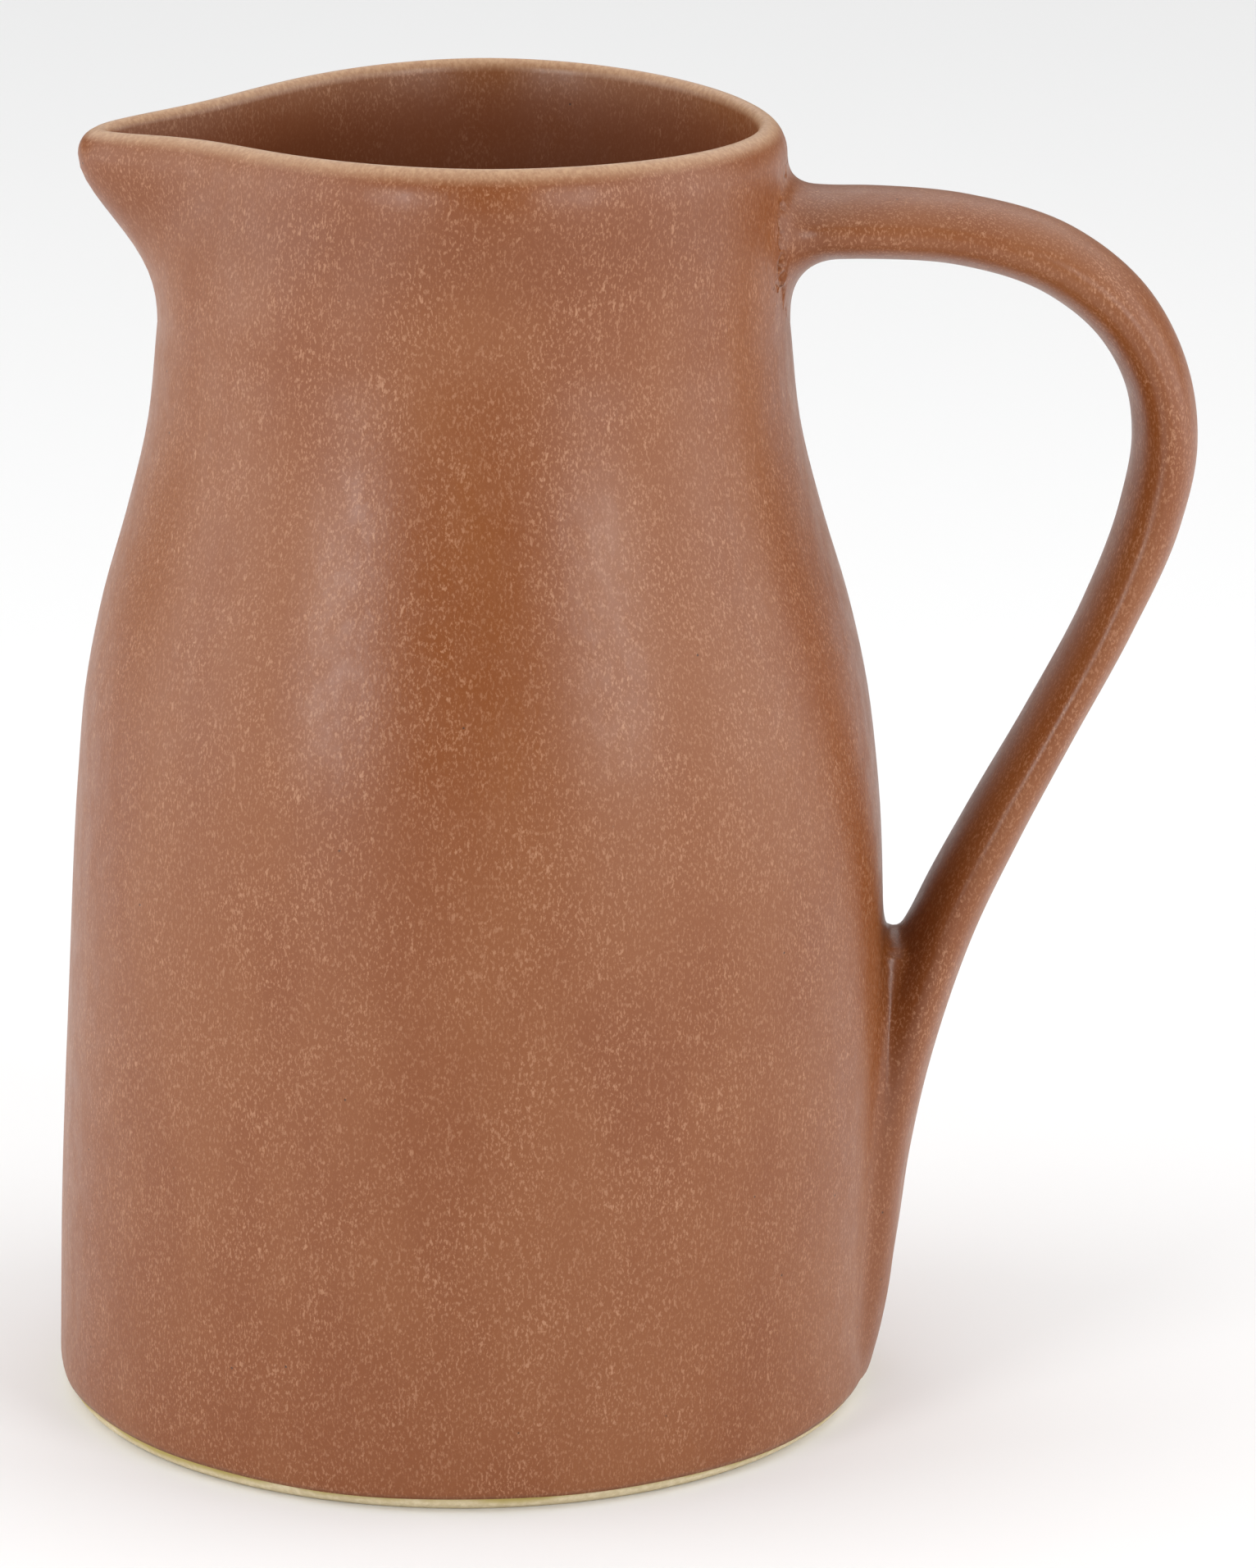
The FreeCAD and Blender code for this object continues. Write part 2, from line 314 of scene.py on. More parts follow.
def throw(points, **marks):
    """A bmesh of the finished pot's surface from its round profile.

    Each mark is a rule of the plain pot's radius and height, kept for the material to read."""
    bm = bmesh.new()
    edges = chain(bm, points)
    bmesh.ops.spin(
        bm, geom=bm.verts[:] + edges, cent=(0, 0, 0), axis=(0, 0, 1), dvec=(0, 0, 0),
        angle=2 * pi, steps=spin_steps, use_merge=True, use_duplicate=False,
    )
    bmesh.ops.remove_doubles(bm, verts=bm.verts, dist=tiny)
    for name, rule in marks.items():
        layer = bm.verts.layers.float.new(name)
        for vert in bm.verts:
            vert[layer] = rule(vert.co.xy.length, vert.co.z)
    for vert in bm.verts:
        angle = bearing(vert.co)
        vert.co = carried(angle + ease_to_front * sin(angle), vert.co.xy.length, vert.co.z)
    bmesh.ops.recalc_face_normals(bm, faces=bm.faces)
    return bm


# %% [markdown]
# Every finished piece is made the same way: its bmesh becomes a mesh, its faces are shaded smooth,
# and it rides on the pitcher's one body. A mark is a number kept at each point, which a material
# can read by name, such as how deep the glaze has pooled there.

# %% Finishing a piece
def finish_piece(bm, name, **marks):
    """A mesh object of this name, at the origin, riding on the pitcher's one body.

    Each mark is a function of a point, kept on the mesh for its material to read."""
    mesh = bpy.data.meshes.new(name)
    bm.to_mesh(mesh)
    bm.free()
    for mark_name, value_at in marks.items():
        values = mesh.attributes.new(mark_name, "FLOAT", "POINT").data
        for vert, value in zip(mesh.vertices, values):
            value.value = value_at(vert.co)
    for face in mesh.polygons:
        face.use_smooth = True
    piece = bpy.data.objects.new(name, mesh)
    bpy.context.scene.collection.objects.link(piece)
    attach(piece, "root")
    print(name, len(mesh.vertices), "vertices", len(mesh.polygons), "faces")
    return piece


# %% [markdown]
# The clay body is the whole profile. Under the pot a shallow recess is turned away inside the foot
# ring, so that the pot stands on a narrow ring and can't rock.

# %% Clay body
foot_ring_width = 5.0 * mm
foot_recess = 1.5 * mm
foot_edge = foot_radius - foot_ring_width
foot_points = [
    (0, foot_recess), (foot_edge * 0.5, foot_recess), (foot_edge - foot_recess, foot_recess),
    (foot_edge - foot_recess * 0.3, foot_recess * 0.35), (foot_edge, 0), (foot_radius - 0.6 * mm, 0),
]
clay_points = foot_points + outside_profile(0.0, 0.05 * mm) + inside_profile(0.0)
thrown_body = finish_piece(throw(clay_points), "thrown_body")
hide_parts("clay_body")

# %% [markdown]
# ## The coat of glaze on the pot
#
# The pot is dipped and its liner poured, so one skin runs from the glaze line over the lip to the
# floor. The melt runs thin on the sharp crest and pools in the hollow under it. Inside the pot the
# colour is painted darker, as painted shade for its dim hollow.
# Where it does so is a rule of the plain pot's radius and height, worked out before the pot is
# pulled, so the marks follow the spout. Painting them by hand would do too, but wouldn't follow.

# %% Where the glaze is thin or pooled, and the inside that is painted in shade
def thin_on_edge(radius, height):
    """1 on the crest of the lip, where the glaze runs thin, and 0 a little way down."""
    near = radius > neck_radius - lip_outside - 3 * mm
    return smooth_step(1 - (rim_height + glaze - height) / (2.4 * mm)) if near else 0.0


def pooled_on_wall(radius, height):
    """How much the glaze has pooled in the hollow under the lip."""
    return 0.7 * smooth_step(1 - abs(height - lip_base + 5 * mm) / (13 * mm))


# Marks the inside of the pot, where shade is painted into the glaze's colour and its gloss is lowered.
def inside_shade_and_gloss(radius, height):
    """1 on the inside of the pot, fading out just below the crest."""
    if radius > wall_at(height)[0] - lip_outside - 0.1 * mm:
        return 0.0
    return smooth_step((rim_height - height - 1 * mm) / (9 * mm))


print("pooled under the lip:", round(pooled_on_wall(neck_radius, lip_base - 5 * mm), 2))

# %% [markdown]
# The skin's lower edge wavers by a few tenths of a millimetre, because the foot was wiped by hand
# with a sponge. Solidify gives the skin its thickness on the clay side.

# %% Skin of glaze
def wiped(angle):
    """How far the glaze line wavers at this angle."""
    return (0.22 * sin(angle * 2 + 0.9) + 0.12 * sin(angle * 5 + 2.0) + 0.07 * sin(angle * 11)) * mm


skin = throw(
    outside_profile(glaze, glaze_line) + inside_profile(glaze),
    thin=thin_on_edge, pooled=pooled_on_wall, inside=inside_shade_and_gloss,
)
wavers_below = 9 * mm
for vert in skin.verts:
    outside = vert.co.xy.length > foot_edge
    if outside and vert.co.z < wavers_below:
        share = (wavers_below - vert.co.z) / (wavers_below - glaze_line)
        vert.co.z += wiped(bearing(vert.co)) * share

body_glaze = finish_piece(skin, "body_glaze")
thickness = body_glaze.modifiers.new("coat", "SOLIDIFY")
thickness.thickness = glaze * 0.9
thickness.offset = -1
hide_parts("outer_glaze", "liner_glaze")

# %% [markdown]
# ## Pulling the handle
#
# A handle is pulled from a carrot of wet clay into an oval strap, bent into an ear and pressed on at
# both ends, with the lower end smeared down the wall into a long tail. An oval ring is extruded from
# station to station along the strap's middle line and turned and sized at each, so that the strap
# is one tube. Each station of the ear gives shares of the fall from root to crotch and of the span,
# then how thick and wide the strap is there. Each station of the tail gives its height as a share
# of the crotch's, and how proud of the wall it stands. So the handle follows the pot.

# %% Stations of the strap
root_height = rim_height - 16.4 * mm
crotch_height = 75.0 * mm
handle_span = 52.7 * mm
strap_thickness = 9.0 * mm
strap_width = 21.0 * mm
root_depth = 2.0 * mm
ear = [
    (0.000, 0.10, 1.08, 1.12), (0.000, 0.25, 1.06, 1.06), (0.011, 0.504, 1.04, 1.00),
    (0.054, 0.764, 1.07, 1.00), (0.128, 0.928, 1.05, 1.00), (0.226, 1.004, 1.00, 1.00),
    (0.312, 1.002, 1.00, 1.00), (0.417, 0.935, 0.96, 1.00), (0.567, 0.774, 0.83, 1.00),
    (0.723, 0.567, 0.81, 1.00), (0.871, 0.365, 0.90, 1.00),
]
tail = [
    (0.98, 1.60, 1.00, 1.02), (0.83, 1.16, 1.04, 1.10), (0.67, 0.80, 0.98, 1.20),
    (0.50, 0.55, 0.92, 1.28), (0.33, 0.40, 0.88, 1.32), (0.20, 0.26, 0.84, 1.30),
    (0.13, 0.11, 0.80, 1.20), (0.08, -0.06, 0.76, 1.00),
]


def wall_front(height):
    """Where the clay wall stands under the handle, at this height."""
    return sum(wall_at(height))


def strap_stations():
    """Running length, then x, z, half thickness and half width of each section."""
    root_wall = wall_front(root_height)
    crotch_wall = wall_front(crotch_height)
    rows = [(root_wall - root_depth, root_height, 1.25, 1.2)]
    for fall, reach, thick, wide in ear:
        x = between(root_wall, crotch_wall, fall) + handle_span * reach
        rows.append((x, between(root_height, crotch_height, fall), thick, wide))
    for level, proud, thick, wide in tail:
        height = crotch_height * level
        back = wall_front(height) + proud * strap_thickness
        rows.append((back - thick * strap_thickness / 2, height, thick, wide))
    run = 0.0
    stations = []
    for i, (x, z, thick, wide) in enumerate(rows):
        if i:
            run += (Vector((x, z)) - Vector(rows[i - 1][:2])).length
        stations.append((run, x, z, thick * strap_thickness / 2, wide * strap_width / 2))
    return stations


print("strap runs", round(strap_stations()[-1][0] / mm), "mm")

# %% [markdown]
# Extruding the oval's ring of edges again and again makes the tube. A curve object with a bevel
# would be quicker, but its section can't be an oval whose thickness and width change on their own.

# %% Strap by extruding an oval
def section(stations, slopes, run, offset):
    """Matrix that carries a unit circle to the strap's oval at this running length."""
    x, z, half_thickness, half_width = curve_at(stations, slopes, run)
    ahead = curve_at(stations, slopes, run + 0.5 * mm)
    behind = curve_at(stations, slopes, run - 0.5 * mm)
    along = Vector((ahead[0] - behind[0], 0, ahead[1] - behind[1])).normalized()
    across = Vector((0, 1, 0))
    up = along.cross(across)
    columns = [up * (half_thickness + offset), across * (half_width + offset), along]
    matrix = Matrix(columns).transposed().to_4x4()
    matrix.translation = (x, 0, z)
    return matrix


def pull_strap(offset, around, pace):
    """Closed tube along the strap, as a bmesh."""
    stations = strap_stations()
    slopes = slopes_of(stations)
    length = stations[-1][0]
    count = round(length / pace)
    bm = bmesh.new()
    bmesh.ops.create_circle(bm, cap_ends=False, segments=around, radius=1)
    placed = section(stations, slopes, 0.0, offset)
    bmesh.ops.transform(bm, matrix=placed, verts=bm.verts)
    first = bm.edges[:]
    ring = first
    for i in range(1, count + 1):
        grown = bmesh.ops.extrude_edge_only(bm, edges=ring)["geom"]
        verts = [item for item in grown if isinstance(item, bmesh.types.BMVert)]
        ring = [item for item in grown if isinstance(item, bmesh.types.BMEdge)]
        target = section(stations, slopes, length * i / count, offset)
        bmesh.ops.transform(bm, matrix=target @ placed.inverted(), verts=verts)
        placed = target
    bmesh.ops.holes_fill(bm, edges=first + ring, sides=0)
    bmesh.ops.recalc_face_normals(bm, faces=bm.faces)
    return bm


strap_tube = pull_strap(glaze, 96, 1.0 * mm)
strap_shape = BVHTree.FromBMesh(strap_tube)
print("strap", len(strap_tube.faces), "faces")

# %% [markdown]
# ## The wall that the handle is luted to
#
# To smooth slip into the corner between strap and wall, both surfaces have to be known at any point.
# A fine grid is laid on the glazed wall behind the handle with the same carrying warp, and a tree of
# its faces answers how far a point is from it.

# %% Fine patch of the glazed wall
patch_angle = radians(38)


def glazed_outside(angle, height):
    """Point on the glazed outside of the finished pot."""
    if height <= lip_base:
        return carried(angle, wall_at(height)[0] + glaze, height)
    share = min(1.0, (height - lip_base) / (lip_height + glaze))
    reach = (lip_outside + glaze) * (1 - share ** 2) ** 0.5 - lip_outside
    return carried(angle, neck_radius + reach, height)


patch = bmesh.new()
bmesh.ops.create_grid(patch, x_segments=110, y_segments=300, size=1)
for vert in patch.verts:
    height = between(0.5 * mm, rim_height, (vert.co.y + 1) / 2)
    vert.co = glazed_outside(vert.co.x * patch_angle, height)
bmesh.ops.recalc_face_normals(patch, faces=patch.faces)
patch.faces.ensure_lookup_table()
if patch.faces[len(patch.faces) // 2].normal.x < 0:
    bmesh.ops.reverse_faces(patch, faces=patch.faces)
wall_shape = BVHTree.FromBMesh(patch)
print("wall patch", len(patch.faces), "faces")

# %% [markdown]
# ## Luting the handle on
#
# Slip is laid round the root and along the tail, and a finger smooths it. Here two thin pads of slip
# that follow the wall are joined with the strap, and a voxel remesh makes one even skin of all three.
# Each point of that skin is then settled onto a surface that is the strap far from the wall, the wall
# far from the strap, and a soft valley between them. The valley's softness changes with place: wide
# under the root and in the crotch, tight beside the tail.

# %% Pads of slip
pad_half_width = 25 * mm
pad_proud = 0.6 * mm
pad_thickness = 1.8 * mm


def slip_pad(low, high):
    """Thin pad that follows the wall, between two heights."""
    bm = bmesh.new()
    bmesh.ops.create_grid(bm, x_segments=36, y_segments=72, size=1)
    for vert in bm.verts:
        y = pad_half_width * vert.co.x
        z = between(low, high, 0.5 + vert.co.y / 2)
        hit = wall_shape.ray_cast(Vector((0.2, y, z)), Vector((-1, 0, 0)))[0]
        vert.co = hit + Vector((pad_proud, 0, 0))
    grown = bmesh.ops.extrude_face_region(bm, geom=bm.faces[:], use_keep_orig=True)["geom"]
    verts = [item for item in grown if isinstance(item, bmesh.types.BMVert)]
    bmesh.ops.translate(bm, vec=(-pad_thickness, 0, 0), verts=verts)
    bmesh.ops.recalc_face_normals(bm, faces=bm.faces)
    return bm


def add_to(target, source):
    """Copies one bmesh into another."""
    mesh = bpy.data.meshes.new("copy")
    source.to_mesh(mesh)
    target.from_mesh(mesh)
    bpy.data.meshes.remove(mesh)


joined = strap_tube.copy()
root_pad = slip_pad(root_height - 22 * mm, lip_base - 0.3 * mm)
tail_pad = slip_pad(3.0 * mm, crotch_height + 9 * mm)
for pad in (root_pad, tail_pad):
    add_to(joined, pad)
    pad.free()
print("strap and pads", len(joined.faces), "faces")

# %% [markdown]
# In the crotch, where the strap leaves the wall, a plug of slip closes the narrow end of the gap, so
# that the gap ends in a round a finger can wipe and not in a crack.

# %% Plug in the crotch
plug = bmesh.new()
bmesh.ops.create_cube(plug, size=1)
plug_height = 16 * mm
plug_top = crotch_height - 2.5 * mm
plug_centre = (wall_front(plug_top) + 3 * mm, 0, plug_top - plug_height / 2)
bmesh.ops.scale(plug, vec=(9 * mm, 19 * mm, plug_height), verts=plug.verts)
bmesh.ops.translate(plug, vec=plug_centre, verts=plug.verts)
add_to(joined, plug)
plug.free()
print("plug's top", round(plug_top / mm, 1), "mm above the table")

# %% [markdown]
# A voxel remesh fills space with small cubes and keeps the skin round all that is solid, so pieces
# that only cross each other come out as one. A boolean union would keep their long thin faces,
# which don't smooth well.

# %% One skin by voxel remesh
voxel = 0.75 * mm


def voxel_skin(bm, size):
    """Even skin round everything in the bmesh."""
    mesh = bpy.data.meshes.new("rough")
    bm.to_mesh(mesh)
    rough = bpy.data.objects.new("rough", mesh)
    bpy.context.scene.collection.objects.link(rough)
    remesh = rough.modifiers.new("voxels", "REMESH")
    remesh.mode = "VOXEL"
    remesh.voxel_size = size
    shaped = rough.evaluated_get(bpy.context.evaluated_depsgraph_get())
    skin = bmesh.new()
    skin.from_mesh(shaped.to_mesh())
    bpy.data.objects.remove(rough)
    bpy.data.meshes.remove(mesh)
    return skin


skin = voxel_skin(joined, voxel)
joined.free()
print("rough skin", len(skin.verts), "points")

# %% [markdown]
# Settling needs to know how far a point is outside the wall and outside the strap. The two distances
# are joined with a soft minimum: it is the smaller of the two, less a little where they are nearly
# equal, and that little is what rounds the valley.

# %% Distances and softness
def signed(tree, point):
    """Distance outside this surface, and the surface's normal there."""
    place, normal, face, distance = tree.find_nearest(point)
    side = 1 if (point - place).dot(normal) > 0 else -1
    return side * distance, normal


def softness(point):
    """Width of the valley between wall and strap at this point."""
    if point.z > 130 * mm:
        return between(7.5 * mm, 4.5 * mm, smooth_step((point.z - root_height) / (12 * mm) + 0.5))
    crotch = smooth_step((point.z - 58 * mm) / (12 * mm))
    beside = smooth_step((abs(point.y) - 5 * mm) / (6 * mm))
    return between(between(2.5, 6.0, beside), 6.2, crotch) * mm


print("softness at the root", round(softness(Vector((0.05, 0, root_height))) / mm, 1), "mm")


# %% Settling onto wall, strap and valley
settled_rounds = 6
buried = 1.5 * mm


def settle(point):
    """Place of this point on the finished surface, or buried in the wall where it lay deep."""
    from_wall, wall_normal = signed(wall_shape, point)
    from_strap, strap_normal = signed(strap_shape, point)
    if from_wall < -0.9 * mm:
        return point + wall_normal * (max(from_wall, -buried) - from_wall)
    width = softness(point)
    close = max(0.0, width - abs(from_wall - from_strap)) / width
    level = min(from_wall, from_strap) - close * close * width / 4
    to_wall = min(1.0, max(0.0, 0.5 + (from_strap - from_wall) / (2 * width)))
    normal = strap_normal.lerp(wall_normal, to_wall).normalized()
    fade = smooth_step((from_strap - width) / (4 * mm))
    lift = between(0.02, -0.35, fade) * mm
    return point - normal * (level - lift)


for turn in range(settled_rounds):
    if turn == 3:
        in_crotch = [
            edge for edge in skin.edges
            if all(abs(vert.co.z - crotch_height) < 5 * mm for vert in edge.verts)
            and all(vert.co.x > wall_front(crotch_height) - 1 * mm for vert in edge.verts)
        ]
        bmesh.ops.subdivide_edges(skin, edges=in_crotch, cuts=1, use_grid_fill=True)
    if turn < settled_rounds - 1:
        bmesh.ops.smooth_vert(
            skin, verts=skin.verts, factor=0.5, use_axis_x=True, use_axis_y=True, use_axis_z=True,
        )
    for vert in skin.verts:
        vert.co = settle(vert.co)
print("settled skin", len(skin.verts), "points")


# %% The glazed handle
def pooled_by_handle(point):
    """Glaze pools in the valley between strap and wall."""
    from_wall = signed(wall_shape, point)[0]
    from_strap = signed(strap_shape, point)[0]
    width = softness(point) * 1.6
    return smooth_step(max(0.0, 1 - abs(from_wall - from_strap) / width)) * 0.6


handle_glaze = finish_piece(skin, "glazed_handle", pooled=pooled_by_handle)
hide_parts("handle", "upper_joint", "lower_joint", "handle_glaze")

# %% [markdown]
# ## Glaze
#
# The glaze is a satin iron red over cream clay. It is never one colour: fine pale crystals float in
# a rust ground, stretched a little downwards because the melt ran before it froze. Where it pools it
# is deeper and has fewer crystals, and where it runs thin, as on the crest of the lip, it breaks to
# tan. The pattern is built from noise in the object's own coordinates, so it stays put.

# %% Node helpers
def new_material(name):
    """A new material with its node tree and its shader."""
    material = bpy.data.materials.new(name)
    material.use_nodes = True
    tree = material.node_tree
    return material, tree, tree.nodes["Principled BSDF"]


def stretched(tree, scale):
    """Object coordinates, scaled differently along each axis."""
    place = tree.nodes.new("ShaderNodeTexCoord")
    mapping = tree.nodes.new("ShaderNodeMapping")
    mapping.inputs["Scale"].default_value = scale
    tree.links.new(place.outputs["Object"], mapping.inputs["Vector"])
    return mapping.outputs["Vector"]


def noise(tree, vector, scale, detail=2.0, roughness=0.5):
    """Soft noise; the scale is how many lumps go into a metre."""
    node = tree.nodes.new("ShaderNodeTexNoise")
    node.inputs["Scale"].default_value = scale
    node.inputs["Detail"].default_value = detail
    node.inputs["Roughness"].default_value = roughness
    tree.links.new(vector, node.inputs["Vector"])
    return node.outputs["Fac"]


def remap(tree, value, low, high, to_low=0.0, to_high=1.0):
    """Carries a range of values to another, held at its ends."""
    node = tree.nodes.new("ShaderNodeMapRange")
    node.interpolation_type = "SMOOTHSTEP"
    for name, number in zip(("From Min", "From Max", "To Min", "To Max"), (low, high, to_low, to_high)):
        node.inputs[name].default_value = number
    tree.links.new(value, node.inputs["Value"])
    return node.outputs["Result"]


def combine(tree, operation, first, second):
    """Sum, product or the like of two values, each a number or the output of another node."""
    node = tree.nodes.new("ShaderNodeMath")
    node.operation = operation
    for socket, value in zip(node.inputs, (first, second)):
        if isinstance(value, float):
            socket.default_value = value
        else:
            tree.links.new(value, socket)
    return node.outputs[0]


def blend(tree, share, first, second):
    """Mixes two colours, each a tuple or the output of another node."""
    node = tree.nodes.new("ShaderNodeMix")
    node.data_type = "RGBA"
    tree.links.new(share, node.inputs["Factor"])
    for name, colour in (("A", first), ("B", second)):
        socket = [item for item in node.inputs if item.name == name and item.type == "RGBA"][0]
        if isinstance(colour, tuple):
            socket.default_value = (*colour, 1)
        else:
            tree.links.new(colour, socket)
    return [item for item in node.outputs if item.type == "RGBA"][0]


def mark(tree, name):
    """A mark kept at the mesh's points."""
    node = tree.nodes.new("ShaderNodeAttribute")
    node.attribute_name = name
    return node.outputs["Fac"]


# %% [markdown]
# The ground comes first: two rusts in slow clouds, a deeper one where the glaze has pooled, and the
# darkest inside the pot, which is painted shade for its dim hollow.

# %% Ground of the glaze
rust = (0.205, 0.055, 0.009)
deep_rust = (0.175, 0.042, 0.004)
warm = (0.228, 0.070, 0.016)
# Painted shade: the deep brown that the inside of the pot is darkened to, for its dim hollow.
painted_inside_shade = (0.170, 0.036, 0.001)

glaze_material, tree, shader = new_material("satin_terracotta_glaze")
run_down = stretched(tree, (1, 1, 0.5))
pooled = mark(tree, "pooled")
thin = mark(tree, "thin")
inside = mark(tree, "inside")
clouds = remap(tree, noise(tree, stretched(tree, (1, 1, 0.45)), 42, 3, 0.55), 0.36, 0.64)
ground = blend(tree, clouds, rust, warm)
ground = blend(tree, combine(tree, "MULTIPLY", pooled, 0.85), ground, deep_rust)
# Painted shade: the inside of the pot is blended towards the dark brown.
ground = blend(tree, combine(tree, "MULTIPLY", inside, 0.85), ground, painted_inside_shade)

# %% [markdown]
# The crystals are the peaks of two noises, one for the dust and one for the larger flecks, and a
# slower noise makes them crowd and thin out.

# %% Crystals
crystal = (0.42, 0.20, 0.105)
fine = noise(tree, run_down, 2900, 2, 0.6)
coarse = noise(tree, run_down, 1500, 2, 0.6)
fine_flecks = remap(tree, fine, 0.50, 0.68)
coarse_flecks = remap(tree, coarse, 0.60, 0.72)
flecks = combine(tree, "MAXIMUM", combine(tree, "MULTIPLY", fine_flecks, 0.75), coarse_flecks)
spread = remap(tree, noise(tree, stretched(tree, (1, 1, 0.6)), 120, 3, 0.6), 0.35, 0.65, 0.5, 0.85)
# Crystals are fewer where the glaze has pooled, and fewer inside the pot as part of its painted shade.
pooled_and_inside_shade = combine(tree, "ADD", combine(tree, "MULTIPLY", pooled, 0.2), combine(tree, "MULTIPLY", inside, 0.45))
fewer = combine(tree, "MAXIMUM", combine(tree, "SUBTRACT", spread, pooled_and_inside_shade), 0.12)
colour = blend(tree, combine(tree, "MULTIPLY", flecks, fewer), ground, crystal)

# %% [markdown]
# A few dark pinholes are left where gas came through the melt. They are the centres of a fifth of
# a Voronoi pattern's cells. The tan of the thin edge is laid on last, with a ragged border.

# %% Pinholes and the thin edge
pinhole = (0.03, 0.012, 0.006)
tan_break = (0.52, 0.32, 0.18)
dots = tree.nodes.new("ShaderNodeTexVoronoi")
dots.inputs["Scale"].default_value = 230
tree.links.new(stretched(tree, (1, 1, 1)), dots.inputs["Vector"])
pin = combine(tree, "SUBTRACT", 1.0, remap(tree, dots.outputs["Distance"], 0.030, 0.055))
chance = tree.nodes.new("ShaderNodeSeparateColor")
tree.links.new(dots.outputs["Color"], chance.inputs["Color"])
pinholes = combine(tree, "MULTIPLY", pin, remap(tree, chance.outputs["Red"], 0.80, 0.82))
colour = blend(tree, combine(tree, "MULTIPLY", pinholes, 0.75), colour, pinhole)

ragged = remap(tree, coarse, 0.35, 0.65, -0.15, 0.15)
edge = combine(tree, "MULTIPLY", thin, combine(tree, "ADD", 0.75, ragged))
colour = blend(tree, edge, colour, tan_break)
tree.links.new(colour, shader.inputs["Base Color"])

# %% [markdown]
# A satin glaze isn't smooth: it has a faint orange peel about half a millimetre across, which breaks
# up the edges of its highlights, and its pinholes are little pits. The gloss varies as slowly as the
# colour does.

# %% Gloss and relief of the glaze
shader.inputs["IOR"].default_value = 1.5
shader.inputs["Specular IOR Level"].default_value = 0.5
gloss = noise(tree, stretched(tree, (1, 1, 0.6)), 300, 3, 0.6)
sheen = remap(tree, gloss, 0.3, 0.7, 0.35, 0.43)
sheen = combine(tree, "ADD", sheen, combine(tree, "MULTIPLY", inside, 0.3))
tree.links.new(sheen, shader.inputs["Roughness"])
peel = noise(tree, stretched(tree, (1, 1, 0.8)), 1300, 2, 0.55)
relief = combine(tree, "SUBTRACT", peel, combine(tree, "MULTIPLY", pinholes, 1.2))
bump = tree.nodes.new("ShaderNodeBump")
bump.inputs["Strength"].default_value = 0.55
bump.inputs["Distance"].default_value = 0.05 * mm
tree.links.new(relief, bump.inputs["Height"])
tree.links.new(bump.outputs["Normal"], shader.inputs["Normal"])
body_glaze.data.materials.append(glaze_material)
handle_glaze.data.materials.append(glaze_material)
print(glaze_material.name, len(tree.nodes), "nodes")

# %% [markdown]
# ## Bare clay
#
# The foot is wiped clean so that it doesn't stick to the kiln shelf. The clay is cream with fine
# sand in it, and just under the glaze a little of the melt has soaked in and stains it olive.

# %% Clay material
clay_material, tree, shader = new_material("bare_cream_clay")
grain = remap(tree, noise(tree, stretched(tree, (1, 1, 1)), 900, 3, 0.6), 0.35, 0.7)
dark_cream, pale_cream, olive = (0.60, 0.50, 0.31), (0.72, 0.62, 0.43), (0.42, 0.33, 0.10)
cream = blend(tree, grain, dark_cream, pale_cream)
height = tree.nodes.new("ShaderNodeSeparateXYZ")
tree.links.new(stretched(tree, (1, 1, 1)), height.inputs["Vector"])
wander = remap(tree, noise(tree, stretched(tree, (1, 1, 0.2)), 60), 0.3, 0.7, -0.5 * mm, 0.5 * mm)
level = combine(tree, "ADD", height.outputs["Z"], wander)
stain = remap(tree, level, 1.2 * mm, 2.5 * mm)
tree.links.new(blend(tree, stain, cream, olive), shader.inputs["Base Color"])
shader.inputs["Roughness"].default_value = 0.85
bump = tree.nodes.new("ShaderNodeBump")
bump.inputs["Strength"].default_value = 0.5
bump.inputs["Distance"].default_value = 0.06 * mm
tree.links.new(grain, bump.inputs["Height"])
tree.links.new(bump.outputs["Normal"], shader.inputs["Normal"])
thrown_body.data.materials.append(clay_material)
print(clay_material.name, len(tree.nodes), "nodes")

# %% [markdown]
# ## Studio
#
# The pitcher stands on a wide pale floor, as on a sheet of paper. Only its soft shadow shows where
# the floor is.

# %% Floor
def flat_piece(name, size, colour, roughness):
    """A square of this half width on the ground, with one plain finish."""
    bm = bmesh.new()
    bmesh.ops.create_grid(bm, x_segments=1, y_segments=1, size=size)
    mesh = bpy.data.meshes.new(name)
    bm.to_mesh(mesh)
    bm.free()
    piece = bpy.data.objects.new(name, mesh)
    bpy.context.scene.collection.objects.link(piece)
    material, tree, shader = new_material(name + "_finish")
    shader.inputs["Base Color"].default_value = (*colour, 1)
    shader.inputs["Roughness"].default_value = roughness
    mesh.materials.append(material)
    return piece


floor = flat_piece("floor", 6, (0.88, 0.88, 0.88), 0.95)
print("floor", round(floor.dimensions.x), "m wide")

# %% [markdown]
# The surround is white to the camera, and much dimmer to everything else. A surround that were as
# bright for the glaze would wash out its colour from every side.

# %% Surround
world = bpy.data.worlds.new("surround")
bpy.context.scene.world = world
world.use_nodes = True
tree = world.node_tree
background = tree.nodes["Background"]
seen = tree.nodes.new("ShaderNodeLightPath")
strength = remap(tree, seen.outputs["Is Camera Ray"], 0.0, 1.0, 0.20, 1.0)
background.inputs["Color"].default_value = (1, 1, 1, 1)
tree.links.new(strength, background.inputs["Strength"])
print(world.name, len(tree.nodes), "nodes")

# %% [markdown]
# Two small softboxes stand in front, one on each side, and give the pot's shoulders their two soft
# sheens. A large bank stands at each side and lights the edges. Nothing bright stands right behind
# the camera, so the middle of the pot keeps its deep colour.

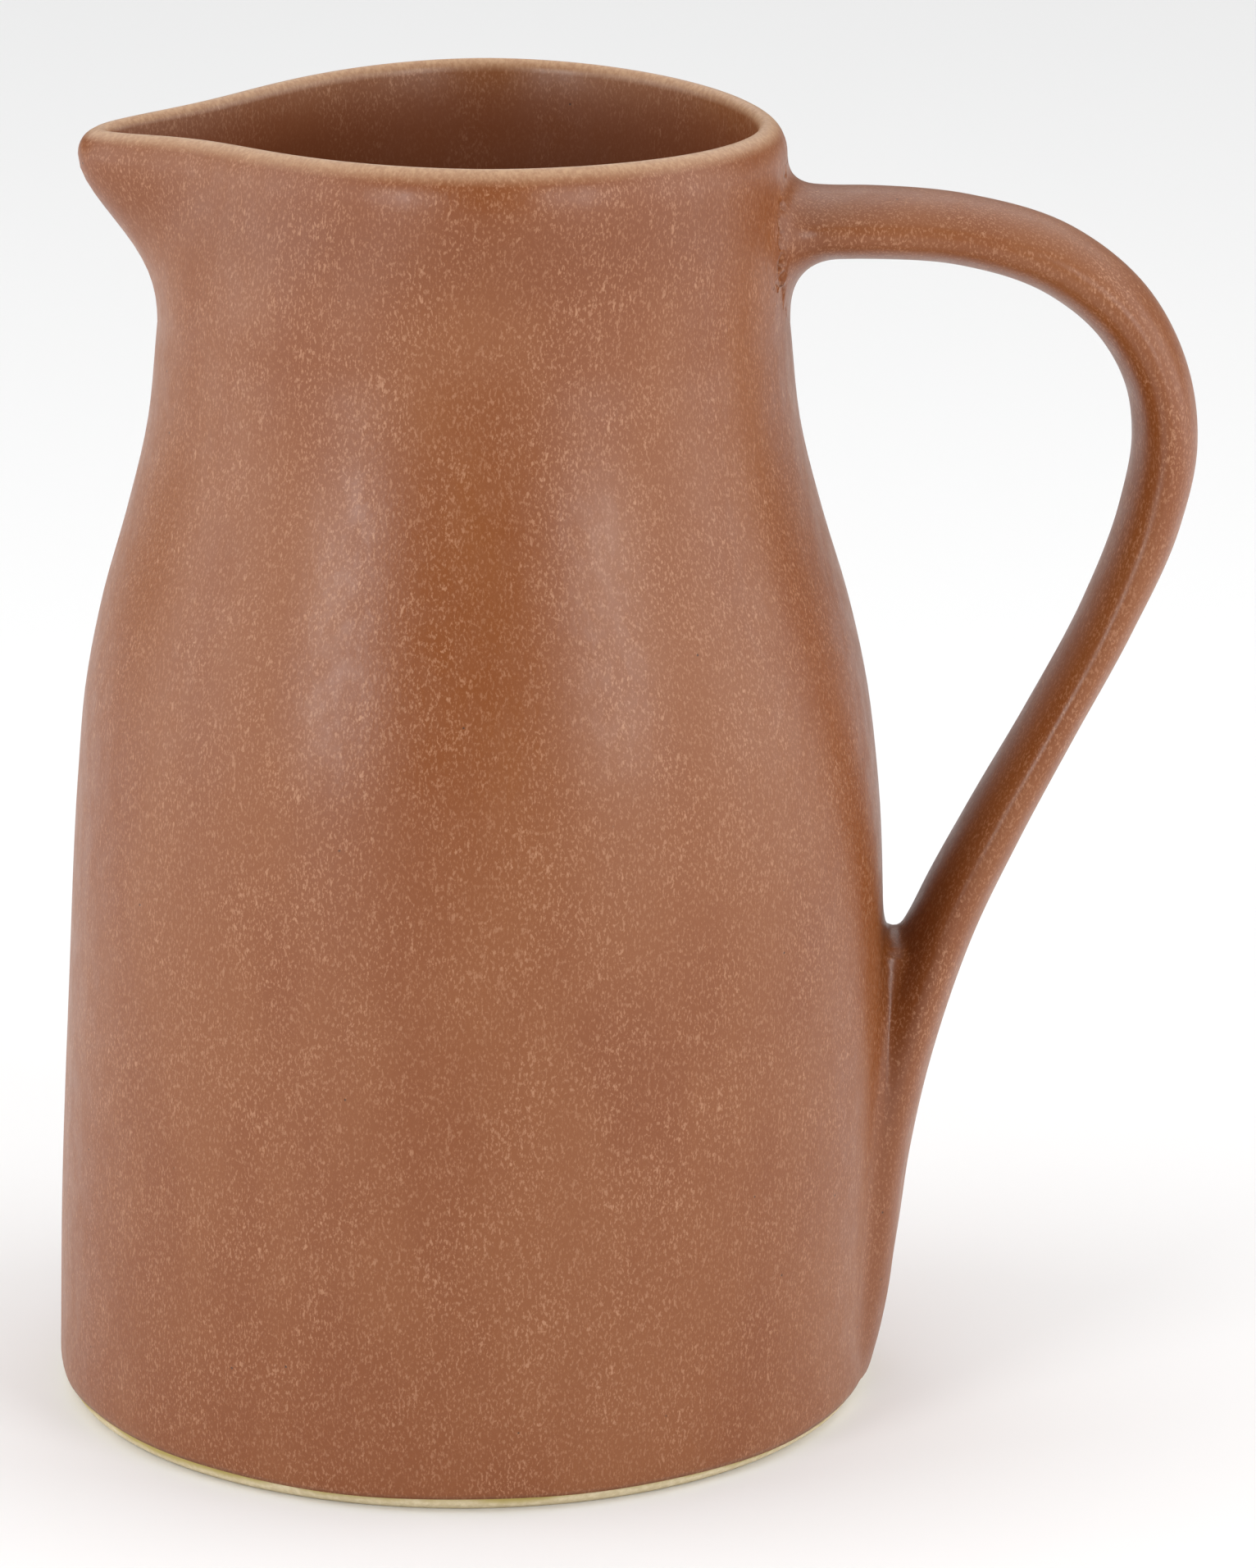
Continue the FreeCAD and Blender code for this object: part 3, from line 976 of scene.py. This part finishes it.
# %% Softboxes and banks
def softbox(name, azimuth, elevation, distance, size, power):
    """Area light aimed at the pitcher; azimuth 0 is the camera's side, positive to the right."""
    light = bpy.data.lights.new(name, "AREA")
    light.shape = "RECTANGLE"
    light.size, light.size_y = size
    light.energy = power
    lamp = bpy.data.objects.new(name, light)
    bpy.context.scene.collection.objects.link(lamp)
    aim = Vector((0, 0, 0.12))
    away = Vector((sin(azimuth) * cos(elevation), -cos(azimuth) * cos(elevation), sin(elevation)))
    lamp.location = aim + away * distance
    lamp.rotation_euler = (-away).to_track_quat("-Z", "Y").to_euler()


softbox("left_softbox", radians(-42), radians(13), 1.3, (0.36, 0.42), 5.5)
softbox("right_softbox", radians(42), radians(16), 1.3, (0.5, 0.6), 6)
softbox("left_bank", radians(-88), radians(12), 1.4, (1.1, 1.3), 9.5)
softbox("right_bank", radians(88), radians(12), 1.4, (1.1, 1.3), 9.5)
print("lights:", sorted(light.name for light in bpy.data.lights))

# %% [markdown]
# A wide, even light overhead keeps the floor pale right out to the edge of the frame and gives the
# top of the handle and the lip their sheen. Its angle is so wide that its shadow has no edge.

# %% Overhead light
overhead = bpy.data.lights.new("overhead", "SUN")
overhead.energy = 2.15
overhead.angle = radians(110)
overhead_lamp = bpy.data.objects.new("overhead", overhead)
bpy.context.scene.collection.objects.link(overhead_lamp)
overhead_lamp.rotation_euler = (radians(-18), 0, 0)
print("overhead light", round(overhead.energy, 2), "W per square metre")

# %% [markdown]
# The camera stands about a metre away with a long lens and looks down by nearly 16 degrees, enough
# to see a little way into the mouth.

# %% Camera
camera_data = bpy.data.cameras.new("camera")
camera_data.sensor_fit = "HORIZONTAL"
camera_data.sensor_width = 36
camera_data.lens = 200
camera = bpy.data.objects.new("camera", camera_data)
bpy.context.scene.collection.objects.link(camera)
swing, pitch, roll = 0.0244, 0.27508, 0.0053
turned = Matrix.Rotation(-swing, 4, "Z") @ Matrix.Rotation(pi / 2 - pitch, 4, "X")
turned = turned @ Matrix.Rotation(roll, 4, "Z")
camera_place = Vector((0, -1.0327, 0.3866))
camera.matrix_world = Matrix.Translation(camera_place) @ turned
bpy.context.scene.camera = camera
bpy.context.scene.view_settings.view_transform = "Standard"
print("camera", round(camera_place.length, 2), "m away, pitch", round(pitch / radians(1), 1), "degrees")
